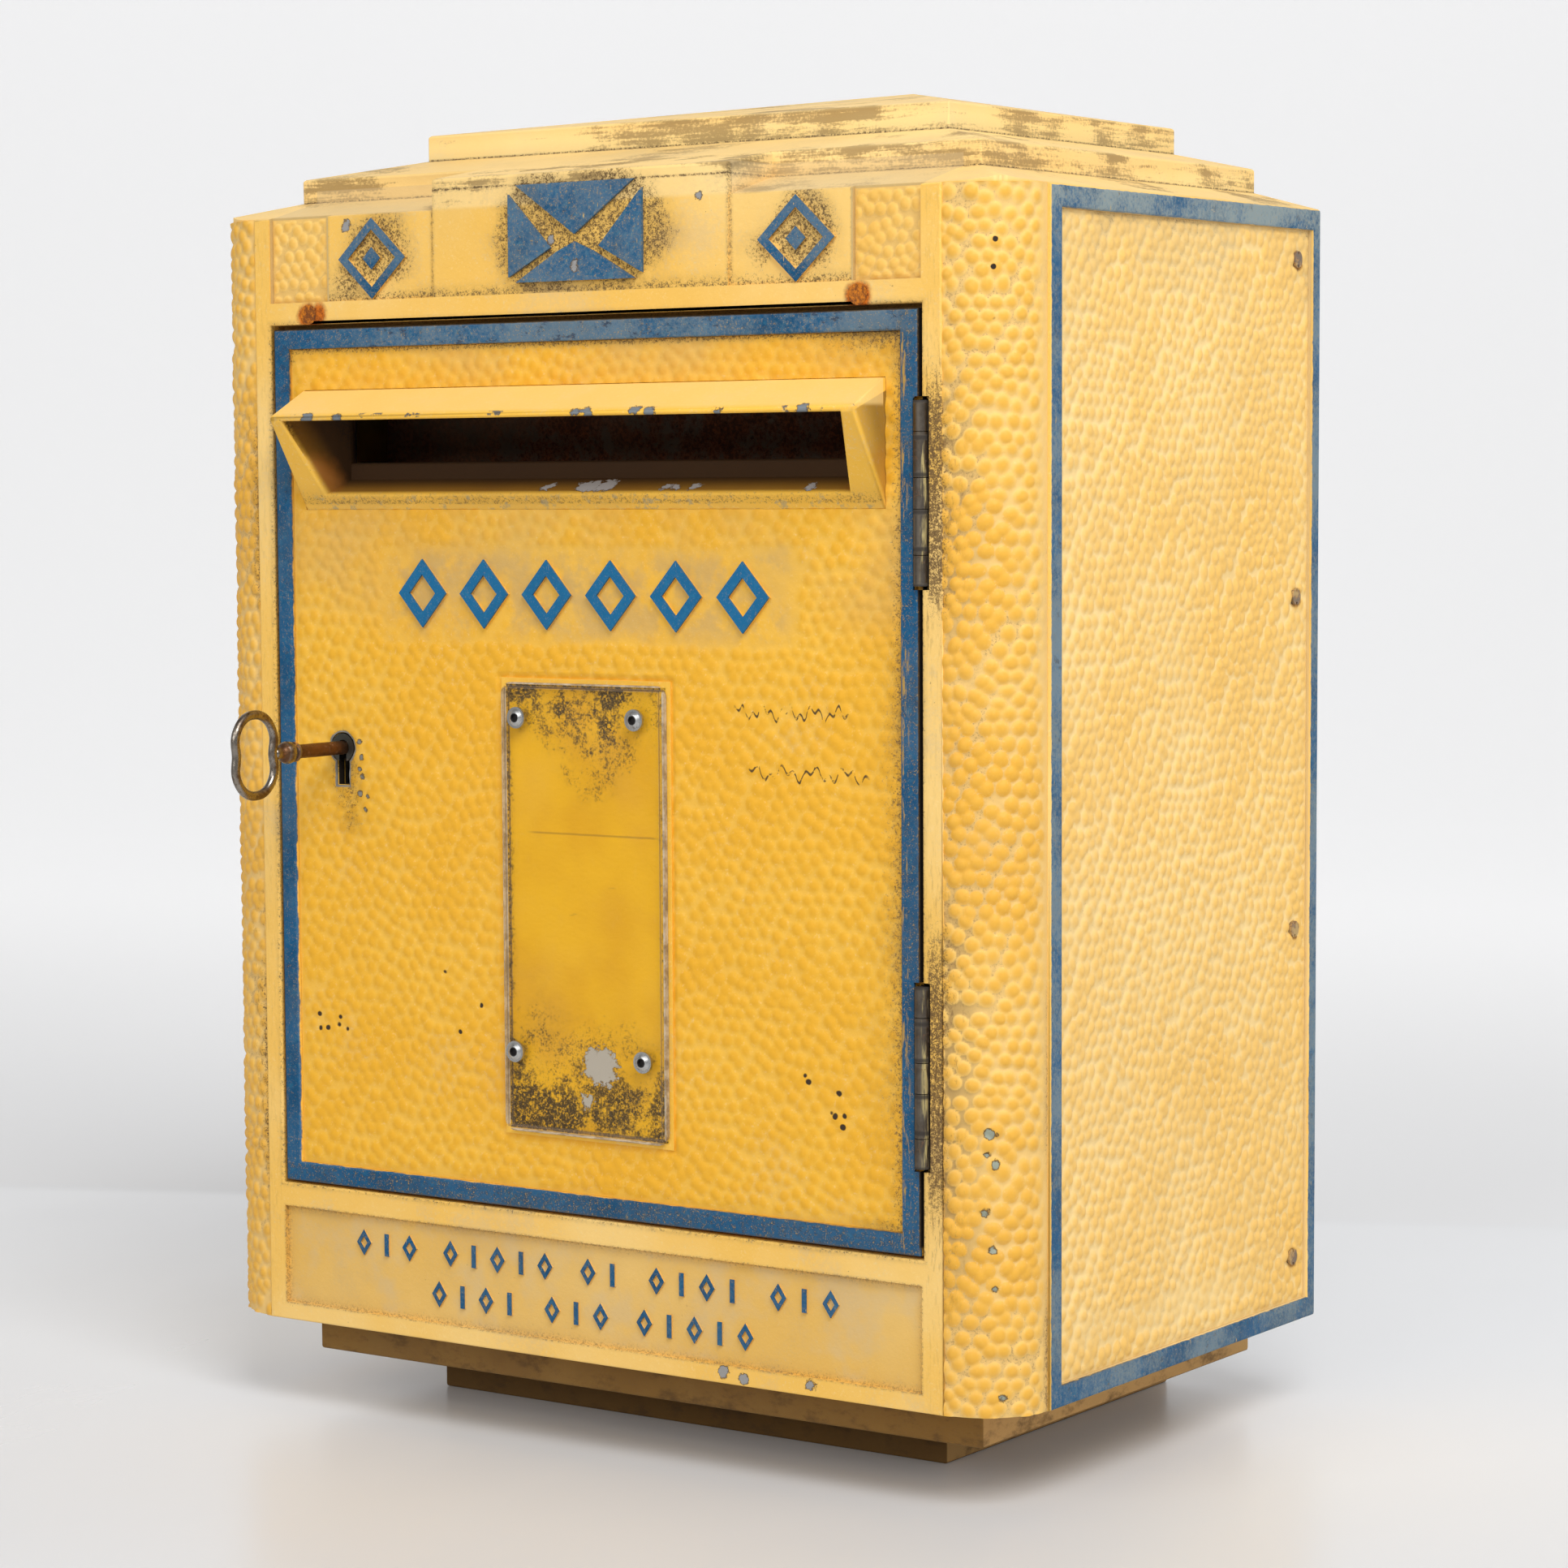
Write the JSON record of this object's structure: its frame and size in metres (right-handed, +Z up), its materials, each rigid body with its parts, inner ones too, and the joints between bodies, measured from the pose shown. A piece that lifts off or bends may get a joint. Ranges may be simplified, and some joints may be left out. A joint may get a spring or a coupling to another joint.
{
  "type": "cast wall letter box",
  "caption": "Weathered cast wall letter box with stepped roof and base, hammered sides, hooded letter slot, hinged front door, turning key and sliding bolt.",
  "frame": {"origin": "middle of the underside of the lowest base step, the face the box stands on", "axes": "+Z up, +Y to the back (the wall side), +X to the right seen from the front"},
  "size_m": [0.35, 0.2807, 0.4944],
  "materials": {
    "body_paint": "worn satin yellow paint with dirt, chips and rust stains",
    "door_paint": "worn satin yellow paint, deeper than the body, with dirt and chips",
    "sheet_steel": "dull galvanised sheet",
    "rusty_steel": "rough brown rust",
    "hinge_steel": "grey steel with remains of yellow paint and rust",
    "zinc_steel": "dull zinc plating",
    "lock_steel": "dark stained steel",
    "key_steel": "worn steel with brown rust in the corners",
    "clear_cover": "clear sheet, dull with scratches and dirt at its edges"
  },
  "bodies": {
    "box": {"housing": "body_paint", "back_plate": "sheet_steel", "back_plate_screws": "zinc_steel", "mail_guard": "rusty_steel", "guard_screws": "rusty_steel", "guard_nuts": "rusty_steel", "hinge_top_frame_leaf": "hinge_steel", "hinge_top_pin": "hinge_steel", "hinge_bottom_frame_leaf": "hinge_steel", "hinge_bottom_pin": "hinge_steel", "hinge_frame_screws": "hinge_steel", "strike_plate": "lock_steel", "strike_screws": "zinc_steel"},
    "front_door": {"door": "door_paint", "notice_cover": "clear_cover", "notice_cover_screws": "zinc_steel", "notice_cover_nuts": "zinc_steel", "hinge_top_door_leaf": "hinge_steel", "hinge_bottom_door_leaf": "hinge_steel", "hinge_door_screws": "hinge_steel", "lock_case": "lock_steel", "lock_cover": "lock_steel", "lock_cover_screws": "zinc_steel", "lock_mount_screws": "zinc_steel"},
    "key_and_rotor": {"lock_rotor": "lock_steel", "key": "key_steel"},
    "bolt": {"lock_bolt": "lock_steel"}
  },
  "joints": [
    {"name": "door_swing", "type": "hinge", "parent": "box", "child": "front_door", "pos_m": [0.1408, -0.14, 0.244], "axis": [0, 0, 1], "range_deg": [0, 110]},
    {"name": "key_turn", "type": "hinge", "parent": "front_door", "child": "key_and_rotor", "pos_m": [-0.1104, -0.134, 0.249], "axis": [0, -1, 0], "range_deg": [0, 90]},
    {"name": "bolt_throw", "type": "slide", "parent": "front_door", "child": "bolt", "axis": [-1, 0, 0], "range_m": [0, 0.0114]}
  ],
  "couplings": [
    {"joint": "bolt_throw", "follows": "key_turn", "m_per_rad": 0.0072}
  ]
}
